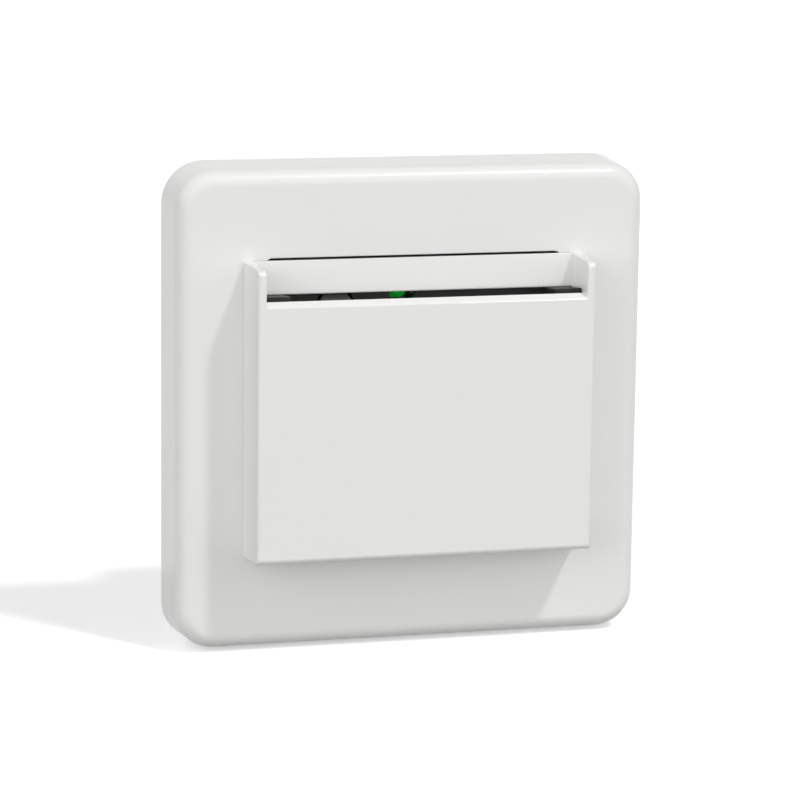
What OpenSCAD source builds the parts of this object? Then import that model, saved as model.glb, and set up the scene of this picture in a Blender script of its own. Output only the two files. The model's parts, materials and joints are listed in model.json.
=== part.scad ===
// Hotel key card switch: a card pocket on a square frame plate, with a lever switch and a lamp behind it.
// Millimetres. X runs right, Y into the wall and Z up. The origin is the middle of the plate on the wall.

/* [Frame plate] */
// Width and height of the plate at the wall
plate_size = 82; // [80:0.5:90]
// Depth of the plate's sides, up to the rounded front edge
plate_side = 7.95; // [7.5:0.05:9]
// Radius of the plate's front edge
edge_round = 2.8; // [2:0.1:3.2]
// Draft of the plate's sides in degrees
side_draft = 4.35; // [2:0.05:5]
// Radius of the plate's corners at the wall
corner_round = 7.1; // [6.5:0.1:9]
// Wall of the plate's sides at the wall
plate_wall = 2.6; // [2.2:0.1:3]
// Thickness of the plate's face
face_wall = 2.5; // [2:0.1:3]
// Width of the window in the plate
window_w = 50.8; // [50:0.1:51.6]
// Height of the window in the plate
window_h = 51.3; // [50.8:0.1:52]
// Corner radius of the window
window_round = 0.9; // [0.5:0.1:1.5]
// Rib around the window on the plate's back
window_rib = 1.6; // [1.2:0.1:2]

/* [Card pocket] */
// Space between the cheeks, for a card of 54 mm
card_space = 55; // [54.6:0.1:55.6]
// How far the pocket's bottom lies below the middle, at the plate
pocket_drop = 24.55; // [24:0.05:24.8]
// Height of the cheeks' tops above the middle, at the plate
cheek_top = 25.3; // [24.6:0.05:25.4]
// How far the pocket stands out of the plate
pocket_depth = 9; // [8.7:0.1:10]
// Draft of the pocket's outside in degrees
pocket_draft = 2.5; // [1:0.1:3]
// Wall of the cheeks at the plate
cheek_wall = 1.8; // [1.6:0.1:2.4]
// Wall at the pocket's front
front_wall = 1.5; // [1.2:0.1:1.7]
// Wall at the pocket's bottom
bottom_wall = 2; // [1.8:0.1:2.4]
// Height of the front wall's inner top edge above the middle
mouth_z = 19.65; // [18:0.05:20]
// Fall of the front wall's sloped top
mouth_slope = 0.9; // [0.6:0.1:1.2]
// Radius of the pocket's front edges
pocket_round = 0.5; // [0.3:0.1:0.8]
// Radius of the cheeks' upper front edges
cheek_round = 1.15; // [0.5:0.05:1.5]
// Radius of the pocket's lower front edge
sole_round = 1; // [0.6:0.1:1.4]
// Height of the panel's lower edge above the middle
panel_z = 19.65; // [19:0.05:20]
// How far the panel's lower part stands out of the plate
panel_out = 0.75; // [0.5:0.05:1]
// How far the panel's upper edge stands out of the plate
panel_top_out = 0.2; // [0.1:0.05:0.4]
// Height of the upright band along the panel's lower edge
panel_band = 1; // [0.6:0.05:1.4]
// Radius of the panel's lower edge
panel_round = 0.25; // [0.1:0.05:0.5]
// Thickness of the guide ribs inside the front wall
rib_out = 0.5; // [0.3:0.05:0.6]
// Width of the pocket's snap hooks
hook_w = 2.2; // [1.8:0.1:2.4]
// Thickness of the pocket's snap hooks
hook_t = 1; // [0.8:0.1:1.1]

/* [Card guide] */
// How far the guide's face lies behind the plate's face
guide_recess = 0.4; // [0.3:0.05:0.6]
// Thickness of the guide's face
guide_face = 1.6; // [1.4:0.1:1.8]
// Wall of the guide's skirt
guide_skirt = 1.5; // [1.2:0.1:1.6]
// How far the side rails stand out of the plate
rail_out = 5.95; // [5.5:0.05:6.1]
// Width of the side rails
rail_w = 4.6; // [4:0.1:4.8]
// Height of the rails' tops above the middle, at the plate
rail_z = 19.55; // [18:0.05:19.6]
// Rise of the rails' tops towards the front in degrees
rail_rise = 6; // [0:0.5:7]
// Height of the upper pair of screws
screw_high_z = 10; // [6:0.5:11]
// Depth below the middle of the lower pair of screws
screw_low_z = 12; // [8:0.5:15]
// Shank radius of the guide's screws
screw_r = 1.25; // [1:0.05:1.4]
// Head radius of the guide's screws
screw_head_r = 2.1; // [1.8:0.1:2.2]

/* [Lever] */
// Width of the lever's lower part
lever_w = 8; // [7:0.1:8.2]
// Width of the lever's top where the slot shows it
lever_top_w = 4.6; // [4:0.1:5]
// Width of the lever's neck
lever_neck_w = 3.4; // [3:0.1:3.6]
// Flare of the lever's sides in degrees
lever_flare = 30; // [20:1:35]
// Thickness of the lever
lever_t = 1.6; // [1.4:0.1:1.8]
// Height of the lever's nose above the middle
nose_z = 1; // [-2:0.5:4]
// Full swing of the lever in degrees
lever_swing = 6; // [4:0.5:6]
// Radius of the lever's hinge barrel
barrel_r = 1.7; // [1.6:0.05:1.8]
// Radius of the hinge pin
pin_r = 1; // [0.8:0.05:1.1]
// Thickness of the ears that hold the pin
ear_t = 1.9; // [1.5:0.1:2]
// Wire of the lever's spring
lever_wire = 0.5; // [0.4:0.05:0.5]
// Turns of the lever's spring
lever_turns = 3; // [2:1:3]

/* [Switch] */
// Thickness of the steel support frame
frame_t = 1.2; // [1:0.1:1.5]
// Gap between the support frame's edge and the inside of the plate
frame_gap = 1.2; // [0.6:0.1:2.5]
// Corner radius of the support frame
frame_round = 4; // [3:0.5:6]
// Circle of the wall box screws
box_circle = 60; // [59:0.5:61]
// Radius of the wall box screw holes
box_hole_r = 1.9; // [1.7:0.05:2.1]
// Width and height of the base behind the wall
base_size = 39; // [37:0.1:41]
// Wall of the base
base_wall = 1.8; // [1.6:0.1:2]
// Depth of the base behind the wall
base_depth = 20; // [19.5:0.1:24]
// Chamfer of the base's corners
base_chamfer = 5; // [4:0.5:6]
// Thickness of the base's flange
flange_t = 4.5; // [4:0.1:5]
// Gap between the plunger's body and the base's side
plunger_gap = 0.7; // [0.5:0.05:1]
// Gap between the upper strip and the base's top
strip_gap = 1.9; // [1.5:0.05:2.2]
// Radius of the plunger's stem
stem_r = 1.6; // [1.4:0.05:1.8]
// Width and height of the plunger's body
plunger_w = 6.8; // [6.6:0.05:6.9]
// Thickness of the contact strips and the bridge
strip_t = 0.8; // [0.6:0.05:1]
// Width of the contact strips and the bridge
strip_w = 4; // [3.6:0.1:4.1]
// Distance from the plunger's axis to each contact
contact_reach = 5.8; // [5.75:0.05:6.2]
// Width of the neutral strip
neutral_w = 3; // [2:0.1:4]
// Radius of the contact tips
tip_r = 1.4; // [1:0.1:1.6]
// Wire of the return spring
return_wire = 0.5; // [0.4:0.05:0.6]
// Turns of the return spring
return_turns = 5; // [3:1:5]
// Wire of the bridge's spring
bridge_wire = 0.4; // [0.3:0.05:0.45]
// Turns of the bridge's spring
bridge_turns = 4; // [3:1:4]

/* [Terminals] */
// Width of a terminal block
terminal_w = 7; // [6.5:0.1:7.4]
// Height of a terminal block
terminal_h = 8; // [7.6:0.1:8.2]
// Length of a terminal block
terminal_l = 9; // [8:0.1:9.4]
// Radius of the wire bore
wire_r = 1.6; // [1.3:0.05:1.7]
// Thread radius of the clamp screws
clamp_r = 1.5; // [1.3:0.05:1.6]
// Head radius of the clamp screws
clamp_head_r = 2.6; // [2.3:0.1:2.8]

/* [Lamp] */
// Gap between the lamp and the ear beside it
lamp_gap = 0.75; // [0.6:0.05:1]
// Height of the lamp above the middle
lamp_z = 19.5; // [19.2:0.1:19.6]
// Radius of the lamp's dome
lamp_r = 1.5; // [1.2:0.05:1.6]
// Radius of the lamp's hole in the guide
lamp_hole_r = 2.3; // [1.9:0.05:2.4]
// Thickness of the lamp's board
board_t = 1; // [0.8:0.1:1.2]
// Length of the resistor's body
resistor_l = 6.3; // [5:0.1:6.5]
// Radius of the resistor's body
resistor_r = 1.15; // [0.8:0.05:1.2]
// Length of the diode's body
diode_l = 5; // [4:0.1:5.2]
// Radius of the diode's body
diode_r = 1.3; // [1:0.05:1.35]

/* [Hidden] */
$fn = 48;

// Clearances: between pieces that pass each other, pieces fixed together, faces that meet, and turning pins
loose = 0.3;
snug = 0.15;
seat_gap = 0.05;
running = 0.05;
tight = 0.02;
// Extra length of a cutting shape past the face that it cuts, and overlap of shapes that are joined
over = 1;
joined = 0.5;

// Planes along Y, from the wall to the front
frame_front = -frame_t;
plate_depth = plate_side + edge_round;
plate_front = -plate_depth;
guide_front = plate_front + guide_recess;
guide_back = guide_front + guide_face;
flange_front = frame_front - flange_t;
pocket_front = plate_front - pocket_depth;
pocket_inner = pocket_front + front_wall;
rail_front = plate_front - rail_out;
screw_seat = guide_back - seat_gap;
pocket_floor = bottom_wall - pocket_drop;
// A length past every edge of the pocket
pocket_past = 2 * cheek_top;

// The guide fills the window, its skirt goes round the base's flange, and the base goes through the frame
cavity = plate_size - 2 * plate_wall;
frame_size = cavity - 2 * frame_gap;
guide_half_w = window_w / 2 - loose;
guide_half_h = window_h / 2 - loose;
skirt_half_w = guide_half_w - guide_skirt;
skirt_half_h = guide_half_h - guide_skirt;
flange_half_w = skirt_half_w - snug;
flange_half_h = skirt_half_h - snug;
inner_half = card_space / 2;
base_half = base_size / 2;
chamber_half = base_half - base_wall;
base_floor = base_depth - base_wall;
// Each rail keeps a foot on the guide's face, and the screws stand beside the rails, in bosses of the base
rail_foot = 2.3;
rail_inner = min(inner_half - snug - rail_w, guide_half_w - rail_foot);
screw_x = rail_inner - screw_head_r - 2 * snug;
screw_places = [for (x = [-screw_x, screw_x], z = [screw_high_z, -screw_low_z]) [x, z]];
boss_wall = 1;
boss_r = screw_r + boss_wall;

// The plunger stands beside the base's left wall or its bosses, and the lever in front of it
lever_x = plunger_gap + plunger_w / 2 - min(chamber_half, screw_x - boss_r);
plunger_z = chamber_half - strip_gap - strip_w / 2 - contact_reach;

// Hinge of the lever under the top of the guide's skirt, with the spring beside the right ear
hinge_drop = 3.05;
hinge_z = skirt_half_h - hinge_drop;
hinge_y = guide_back + loose + barrel_r;
barrel_half = 2.8;
coil_gap = 0.55;
coil_r = pin_r + running + lever_wire;
coil_from = lever_x + barrel_half + loose + lever_wire / 2;
coil_to = coil_from + lever_turns * (lever_wire + coil_gap);
ear_left = lever_x - barrel_half - loose - ear_t;
ear_right = coil_to + lever_wire / 2 + loose;
ear_rim = 0.8;
ear_r = barrel_r + ear_rim;

// Side outline of the lever: an arm from the hinge to the knee, and a plate that leans out to the nose
arm_front = 0.4;
arm_rise = 1.3;
arm_drop = 1.2;
knee_drop = 1.5;
nose_rise = 1.5;
nose_drop = 1.7;
nose_in = 1;
nose_t = 1.2;
lip_l = 4.3;
lip_drop = 3.4;
lip_t = 1.5;
lip_lean = 0.3;
nose_y = pocket_inner + loose;
knee = [guide_front - 2 * seat_gap, hinge_z - knee_drop];
nose_top = [nose_y, nose_z + nose_rise];
lean = (nose_top - knee) / norm(nose_top - knee);
back_normal = [-lean[1], lean[0]];
lean_back = back_normal * lever_t;

// The plunger's dome stays just clear of the lever's back, at rest and when the lever is pushed in
dome_gap = 0.25;
back_offset = ([hinge_y, hinge_z] - knee - lean_back) * back_normal;
function turned(v, angle) = [v[0] * cos(angle) - v[1] * sin(angle), v[0] * sin(angle) + v[1] * cos(angle)];
function dome_y(angle) =
    let (n = turned(back_normal, angle))
    hinge_y + (stem_r + dome_gap - back_offset - (plunger_z - hinge_z) * n[1]) / n[0];
plunger_travel = dome_y(lever_swing) - dome_y(0);

// Contacts in a row along Y: bridge, moving tip, gap, fixed tip, strip
bridge_back = 2.3;
tip_t = 0.7;
fixed_tip_t = 0.6;
contact_rest = 0.1;
fixed_tip_front = bridge_back + tip_t + plunger_travel + contact_rest;
strip_front = fixed_tip_front + fixed_tip_t;
strip_back = strip_front + strip_t;
high_z = plunger_z + contact_reach;
low_z = plunger_z - contact_reach;

// Plunger's body around the bridge, and the return spring between it and the base's boss
body_set_in = 1.5;
body_front = flange_front + body_set_in;
body_end = 1;
body_back = strip_back + body_end;
bridge_room = 5.1;
bridge_window_front = bridge_back - bridge_room;
return_room = 6;
boss_front = body_back + return_room;
rear_pin_r = 1.5;
rear_pin_l = 8.5;

// Terminals beside the base's chamfered lower corners
terminal_pitch = base_half - base_chamfer - base_wall * (sqrt(2) - 1) - terminal_w / 2 - snug;
terminal_places = [for (i = [-1, 0, 1]) i * terminal_pitch];
block_low_z = loose - chamber_half;
block_high_z = block_low_z + terminal_h;
block_back = strip_back + terminal_l;
bore_roof = 1.2;
bore_z = block_high_z - bore_roof - wire_r;
clamp_y = strip_back + terminal_l / 2;
strip_overlap = 2.2;
strip_end_z = block_high_z - strip_overlap;
wire_slack = 0.4;

// Lamp on its board, in a recess of the flange beside the lever's right ear
flange_floor_t = 1.2;
recess_floor = frame_front - flange_floor_t;
board_front = recess_floor - board_t;
lamp_rim = 0.4;
lamp_x = ear_right + ear_t + lamp_gap + lamp_r + lamp_rim;
lamp_flange_t = 1;
lamp_body_l = 2.8;
lamp_lead_x = 1.27;
lamp_lead_r = 0.25;
board_pin_r = 0.4;
board_edge = 0.7;
pin_drop = 2.5;
pin_z = min(lamp_z - pin_drop, chamber_half - board_edge);
line_pin_side = 1;
line_pin_x = terminal_pitch + line_pin_side;
pin_tab_w = 2;
neutral_step = 4.2;
neutral_bend = 1.4;
neutral_front = strip_front - neutral_step;

// Wire ends of the pieces on the board, outside the lamp's rim
lead_r = 0.3;
lead_room = 1.3;
parts_x = lamp_x + lamp_r + lamp_rim + lead_room;
parts_middle = parts_x + lead_room + resistor_l / 2;
resistor_rise = 1.3;
diode_drop = 1.5;
resistor_z = lamp_z + resistor_rise;
diode_z = lamp_z - diode_drop;
board_left = ear_right + ear_t + snug;
board_right = max(parts_x + resistor_l + 2 * lead_room, line_pin_x) + 2 * board_edge;
board_low_z = pin_z - board_edge;
board_rise = 2.8;
board_high_z = lamp_z + board_rise;
recess_low_z = board_low_z - 2 * board_edge;

module block(low, high) {
    translate(low) cube(high - low);
}

module along_x(from, to) {
    translate([from, 0, 0]) rotate([90, 0, 90]) linear_extrude(to - from) children();
}

module along_y(from, to) {
    translate([0, to, 0]) rotate([90, 0, 0]) linear_extrude(to - from) children();
}

module rod_x(from, to, y, z, r) {
    translate([from, y, z]) rotate([0, 90, 0]) cylinder(r = r, h = to - from);
}

module rod_y(x, z, from, to, r) {
    translate([x, to, z]) rotate([90, 0, 0]) cylinder(r = r, h = to - from);
}

module rod_z(x, y, from, to, r) {
    translate([x, y, from]) cylinder(r = r, h = to - from);
}

module rounded_square(w, h, r) {
    square([w, h - 2 * r], center = true);
    square([w - 2 * r, h], center = true);
    for (x = [-1, 1], y = [-1, 1]) translate([x * (w / 2 - r), y * (h / 2 - r)]) circle(r);
}

// One unbroken round wire along a path, with six sides
function unit(v) = v / norm(v);
function direction(path, i) = unit(path[min(i + 1, len(path) - 1)] - path[max(i - 1, 0)]);
function across(v, along) = unit(v - (v * along) * along);
function wire_normals(path, start, i = 0) =
    i == len(path)
    ? []
    : let (n = across(start, direction(path, i))) concat([n], wire_normals(path, n, i + 1));

module wire_tube(path, diameter) {
    sides = 6;
    normals = wire_normals(path, [1, 0, 0]);
    rings = len(path);
    last = (rings - 1) * sides;
    points = [
        for (i = [0:rings - 1], k = [0:sides - 1])
        let (n = normals[i], b = cross(direction(path, i), n), a = 360 * k / sides)
        path[i] + diameter / 2 * (cos(a) * n + sin(a) * b)
    ];
    walls = [
        for (i = [0:rings - 2], k = [0:sides - 1])
        let (a = i * sides + k, b = i * sides + (k + 1) % sides)
        each [[a, a + sides, b], [b, a + sides, b + sides]]
    ];
    caps = [for (k = [1:sides - 2]) each [[0, k, k + 1], [last, last + k + 1, last + k]]];
    polyhedron(points, concat(walls, caps));
}

// Least gap of a wire to itself, between points that are more than half a curl apart
curl_rings = 8;
function least_gap(path, diameter) = min([
    for (i = [0:len(path) - 1], j = [i + curl_rings / 2 + 1:1:len(path) - 1]) norm(path[i] - path[j])
]) - diameter;

// Spring coil about the plunger's axis
function plunger_coil(from, to, r, turns) = [
    for (i = [0:turns * curl_rings])
    let (a = 360 * i / curl_rings, share = i / (turns * curl_rings))
    [lever_x + r * cos(a), from + (to - from) * share, plunger_z + r * sin(a)]
];

edge_centre = corner_round - plate_side * tan(side_draft) - edge_round / cos(side_draft);
corner_centre = plate_size / 2 - corner_round;

// Edge outline of the plate: distance out from the corner's centre, and depth from the wall
module plate_edge() {
    polygon([
        [0, 0],
        [corner_round, 0],
        [edge_centre + edge_round * cos(side_draft), plate_side + edge_round * sin(side_draft)],
        [edge_centre, plate_depth],
        [0, plate_depth]
    ]);
    translate([edge_centre, plate_side]) circle(edge_round);
}

module plate_run() {
    mirror([0, 1, 0]) linear_extrude(2 * corner_centre, center = true) {
        for (side = [0, 1]) mirror([side, 0]) translate([corner_centre, 0]) plate_edge();
        translate([-corner_centre, 0]) square([2 * corner_centre, plate_depth]);
    }
}

module plate_outside() {
    plate_run();
    rotate([0, 90, 0]) plate_run();
    for (turn = [0:90:270]) rotate([0, turn, 0]) translate([corner_centre, 0, corner_centre])
        rotate([90, 0, 0]) rotate_extrude(angle = 90) plate_edge();
}

module frame_plate() {
    rib_w = window_w + 2 * window_rib;
    rib_h = window_h + 2 * window_rib;
    color("whitesmoke") difference() {
        union() {
            difference() {
                plate_outside();
                along_y(plate_front + face_wall, over)
                    rounded_square(cavity, cavity, corner_round - plate_wall);
            }
            // Rib around the window that stands on the support frame
            along_y(plate_front + face_wall / 2, frame_front)
                rounded_square(rib_w, rib_h, window_round + window_rib);
        }
        along_y(plate_front - over, over) rounded_square(window_w, window_h, window_round);
    }
}

// Point where a line from a given point touches a circle, on the side given by turn
function touch(from, centre, r, turn) =
    let (v = from - centre, a = atan2(v[1], v[0]) + turn * acos(r / norm(v)))
    centre + r * [cos(a), sin(a)];
pocket_lean = pocket_depth * tan(pocket_draft);

// Outlines of the pocket in plan and from the side, with draft and round edges
module pocket_plan() {
    back = [inner_half + cheek_wall, plate_front - seat_gap];
    centre = [back[0] - pocket_lean - pocket_round, pocket_front + pocket_round];
    edge = touch(back, centre, pocket_round, -1);
    for (side = [0, 1]) mirror([side, 0]) {
        polygon([[0, back[1]], back, edge, centre, [centre[0], pocket_front], [0, pocket_front]]);
        translate(centre) circle(pocket_round);
    }
}

module pocket_side() {
    for (half = [[0, cheek_round, cheek_top], [1, sole_round, pocket_drop]]) mirror([0, half[0]]) {
        back = [plate_front - seat_gap, half[2]];
        centre = [pocket_front + half[1], back[1] - pocket_lean - half[1]];
        edge = touch(back, centre, half[1], 1);
        polygon([[back[0], 0], back, edge, centre, [pocket_front, centre[1]], [pocket_front, 0]]);
        translate(centre) circle(half[1]);
    }
}

// Panel above the slot: leans out a little towards the upright band along its lower edge
panel_back = guide_front - snug;

module panel_side() {
    top = [plate_front - panel_top_out, guide_half_h];
    front = plate_front - panel_out;
    centre = [front + panel_round, panel_z + panel_round];
    polygon([
        [panel_back, panel_z],
        [panel_back, top[1]],
        top,
        [front, panel_z + panel_band],
        [front, centre[1]],
        centre,
        [centre[0], panel_z]
    ]);
    translate(centre) circle(panel_round);
}

// Snap hooks that go through the guide's face, with their barbs behind it
hook_barb = 0.5;
hook_tip = 1.4;
hook_side_gap = 0.4;
hook_top_gap = 0.65;
hook_high_x = skirt_half_w - hook_w / 2 - hook_side_gap;
hook_high_z = skirt_half_h - hook_t / 2 - hook_barb - hook_top_gap;
hook_low_x = 12;
hook_low_z = pocket_floor - hook_t / 2 - snug;
hook_places = [
    for (side = [-1, 1], p = [[hook_high_x, hook_high_z], [hook_low_x, hook_low_z]]) [side * p[0], p[1]]
];

module hook(x, z) {
    catch = guide_back + snug;
    top = z + hook_t / 2;
    along_x(x - hook_w / 2, x + hook_w / 2) polygon([
        [plate_front - panel_top_out, z - hook_t / 2],
        [plate_front - panel_top_out, top],
        [catch, top],
        [catch, top + hook_barb],
        [catch + hook_tip, top],
        [catch + hook_tip, z - hook_t / 2]
    ]);
}

module card_holder() {
    rib_fall = 2;
    rib_start = 2.5;
    color("whitesmoke") {
        difference() {
            intersection() {
                linear_extrude(2 * pocket_past, center = true) pocket_plan();
                along_x(-card_space, card_space) pocket_side();
            }
            block([-inner_half, pocket_inner, pocket_floor], [inner_half, over, pocket_past]);
            // Sloped top of the front wall
            along_x(-inner_half, inner_half) polygon([
                [pocket_inner, mouth_z],
                [pocket_front - over, mouth_z - mouth_slope * (front_wall + over) / front_wall],
                [pocket_front - over, pocket_past],
                [pocket_inner, pocket_past]
            ]);
        }
        // Panel, let into the window between the plate's edges and laid over the plate beside it
        intersection() {
            along_x(-inner_half, inner_half) panel_side();
            union() {
                block([-guide_half_w, pocket_front, 0], [guide_half_w, panel_back, pocket_past]);
                block([-inner_half, pocket_front, 0], [inner_half, plate_front - seat_gap, pocket_past]);
            }
        }
        // Lip that fills the window below the pocket, flush with the plate
        along_x(-guide_half_w, guide_half_w) polygon([
            [panel_back, -guide_half_h],
            [panel_back, pocket_floor - joined],
            [plate_front - joined, pocket_floor - joined],
            [plate_front - joined, joined - pocket_drop],
            [plate_front, joined - pocket_drop],
            [plate_front, -guide_half_h]
        ]);
        // Ribs inside the front wall that hold the card's edges against the rails
        for (side = [0, 1]) mirror([side, 0, 0]) along_x(inner_half - rail_w, inner_half) polygon([
            [pocket_inner, pocket_floor],
            [pocket_inner + rib_out, pocket_floor],
            [pocket_inner + rib_out, mouth_z - rib_start - rib_fall],
            [pocket_inner, mouth_z - rib_start]
        ]);
        for (p = hook_places) hook(p[0], p[1]);
    }
}

// Front outline of the lever, also used with a gap for its opening in the guide
neck_top = 0.9;
flare_drop = 1.75;
lever_slot_gap = 0.45;
lever_slot_drop = 8.4;

module lever_front(gap) {
    flare_top = hinge_z - flare_drop;
    flare_fall = (lever_w - lever_top_w) / 2 / tan(lever_flare);
    neck_rise = (lever_top_w - lever_neck_w) / 2 / tan(lever_flare);
    outline = [
        [lever_neck_w / 2 + gap, hinge_z + neck_top],
        [lever_neck_w / 2 + gap, flare_top + neck_rise],
        [lever_w / 2 + gap, flare_top - flare_fall],
        [lever_w / 2 + gap, -chamber_half]
    ];
    translate([lever_x, 0]) for (side = [0, 1]) mirror([side, 0])
        polygon(concat([[0, outline[0][1]]], outline, [[0, outline[3][1]]]));
}

module guide_body() {
    pillar_wall = 0.5;
    along_y(guide_front, guide_back) square([2 * guide_half_w, 2 * guide_half_h], center = true);
    along_y(guide_front, frame_front) difference() {
        square([2 * guide_half_w, 2 * guide_half_h], center = true);
        square([2 * skirt_half_w, 2 * skirt_half_h], center = true);
    }
    for (p = screw_places) rod_y(p[0], p[1], guide_front, flange_front, screw_head_r + pillar_wall);
}

module guide_openings() {
    front = guide_front - over;
    back = guide_back + over;
    intersection() {
        along_y(front, back) lever_front(lever_slot_gap);
        block([-window_w, front, hinge_z - lever_slot_drop], [window_w, back, window_h]);
    }
    rod_y(lamp_x, lamp_z, front, back, lamp_hole_r);
    rod_y(lever_x, plunger_z, front, back, stem_r + snug);
    for (p = screw_places) {
        rod_y(p[0], p[1], front, flange_front + over, screw_r + snug);
        rod_y(p[0], p[1], front, screw_seat, screw_head_r + snug);
    }
    for (p = hook_places) translate([p[0], 0, p[1]]) along_y(front, back)
        square([hook_w + 2 * snug, hook_t + 2 * snug], center = true);
}

// Rail that carries one edge of the card, beside the window's edge
module guide_rail() {
    root = guide_front + guide_face / 2;
    low = pocket_floor + snug;
    intersection() {
        along_x(rail_inner, inner_half - snug) polygon([
            [root, low],
            [root, rail_z],
            [plate_front, rail_z],
            [rail_front, rail_z + rail_out * tan(rail_rise)],
            [rail_front, low]
        ]);
        union() {
            block([0, rail_front, -pocket_past], [guide_half_w, 0, pocket_past]);
            block([0, rail_front, -pocket_past], [inner_half, plate_front - seat_gap, pocket_past]);
        }
    }
}

// Ear that holds one end of the hinge pin
module pin_ear(x) {
    root = guide_back - guide_face / 2;
    difference() {
        along_x(x, x + ear_t) {
            translate([hinge_y, hinge_z]) circle(ear_r);
            translate([root, hinge_z - ear_r]) square([hinge_y - root, 2 * ear_r]);
        }
        rod_x(x - over, x + ear_t + over, hinge_y, hinge_z, pin_r + tight);
    }
}

module card_guide() {
    color("dimgray") {
        difference() {
            guide_body();
            guide_openings();
        }
        for (side = [0, 1]) mirror([side, 0, 0]) guide_rail();
        for (x = [ear_left, ear_right]) pin_ear(x);
    }
}

screw_point = frame_front - 2 * snug;
cross_l = 2.4;
cross_w = 0.6;
cross_depth = 0.9;

module guide_screws() {
    color("silver") for (p = screw_places) difference() {
        union() {
            rod_y(p[0], p[1], guide_front, screw_seat, screw_head_r);
            rod_y(p[0], p[1], guide_front, screw_point, screw_r);
        }
        translate([p[0], 0, p[1]]) along_y(guide_front - over, guide_front + cross_depth) {
            square([cross_l, cross_w], center = true);
            square([cross_w, cross_l], center = true);
        }
    }
}

// Rivets in the corners of the base's flange, flush with the frame's back
rivet_r = 1.2;
rivet_head_r = 1.9;
rivet_head_t = 0.6;
rivet_x = flange_half_w - rivet_head_r - snug;
rivet_z = flange_half_h - rivet_head_r - snug;
rivet_places = [for (x = [-rivet_x, rivet_x], z = [-rivet_z, rivet_z]) [x, z]];

module frame_rivets() {
    color("gray") for (p = rivet_places) {
        rod_y(p[0], p[1], recess_floor - rivet_head_t, 0, rivet_r);
        rod_y(p[0], p[1], recess_floor - rivet_head_t, recess_floor, rivet_head_r);
    }
}

// The base's outline with chamfered corners, grown by a gap
module base_outline(gap) {
    intersection() {
        square(2 * (base_half + gap), center = true);
        rotate(45) square(2 * ((base_size - base_chamfer) / sqrt(2) + gap), center = true);
    }
}

module support_frame() {
    color("lightsteelblue") difference() {
        along_y(frame_front, 0) rounded_square(frame_size, frame_size, frame_round);
        along_y(frame_front - over, over) base_outline(loose);
        for (turn = [0:90:270]) rotate([0, turn, 0])
            rod_y(box_circle / 2, 0, frame_front - over, over, box_hole_r);
        for (p = rivet_places) rod_y(p[0], p[1], frame_front - over, over, rivet_r + tight);
    }
}

// Bosses of the guide's screws, ledges of the strips, seat of the terminals and boss of the plunger
module base_supports() {
    root = base_depth - joined;
    ledge_half = strip_w / 2;
    pillar_side = 1;
    pillar_half = ledge_half + pillar_side;
    for (p = screw_places) rod_y(p[0], p[1], flange_front, frame_front, boss_r);
    for (z = [high_z, low_z])
        block([-chamber_half - joined, strip_back, z - ledge_half],
              [lever_x + strip_w, root, z + ledge_half]);
    block([terminal_pitch - pillar_half, strip_back, high_z - ledge_half],
          [terminal_pitch + pillar_half, root, chamber_half + joined]);
    block([-neutral_w / 2, strip_back, plunger_z - neutral_w], [neutral_w / 2, root, plunger_z]);
    block([-terminal_pitch - terminal_w / 2, block_back, joined - base_half],
          [terminal_pitch + terminal_w / 2, root, block_high_z]);
    rod_y(lever_x, plunger_z, boss_front, root, plunger_w / 2);
}

module base_openings() {
    front = flange_front - over;
    notch = rivet_head_r + wire_slack;
    rod_y(lever_x, plunger_z, boss_front - over, base_depth - over, rear_pin_r + snug);
    // Recess of the hinge and the lamp's board, slot under the board, and notches for the lower rivets
    block([-window_w, front, recess_low_z], [window_w, recess_floor, window_h]);
    block([lamp_x - lamp_r - loose, front, recess_low_z],
          [board_right - 2 * board_edge, joined, resistor_z + 2 * lead_r]);
    for (side = [0, 1]) mirror([side, 0, 0])
        block([rivet_x - notch, front, -window_h], [window_w, recess_floor, notch - rivet_z]);
    for (p = screw_places) rod_y(p[0], p[1], front, screw_point + snug, screw_r + tight);
    for (p = rivet_places) rod_y(p[0], p[1], front, frame_front + over, rivet_r + tight);
    for (x = terminal_places) {
        rod_y(x, bore_z, block_back - over, base_depth + over, wire_r + wire_slack);
        rod_z(x, clamp_y, -base_half - over, over - chamber_half, clamp_head_r + wire_slack);
    }
}

module switch_base() {
    color("gainsboro") difference() {
        union() {
            difference() {
                union() {
                    along_y(flange_front, frame_front)
                        square([2 * flange_half_w, 2 * flange_half_h], center = true);
                    along_y(flange_front, base_depth) base_outline(0);
                }
                along_y(flange_front - over, base_floor) base_outline(-base_wall);
            }
            base_supports();
        }
        base_openings();
    }
}

module lever_outline() {
    lip = [nose_y + lip_l, nose_z - lip_drop];
    polygon([
        [hinge_y, hinge_z],
        [hinge_y - arm_front, hinge_z + arm_rise],
        knee,
        nose_top,
        [nose_y, nose_top[1] - nose_drop],
        [nose_y + nose_in, nose_z - nose_drop],
        lip,
        lip + [lip_lean, lip_t],
        [nose_y + 2 * nose_in, nose_z - nose_drop + nose_t],
        nose_top + lean_back,
        knee + lean_back,
        [hinge_y - arm_front, hinge_z - arm_drop]
    ]);
}

tab_w = 1.8;
tab_drop = 4.3;

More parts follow.
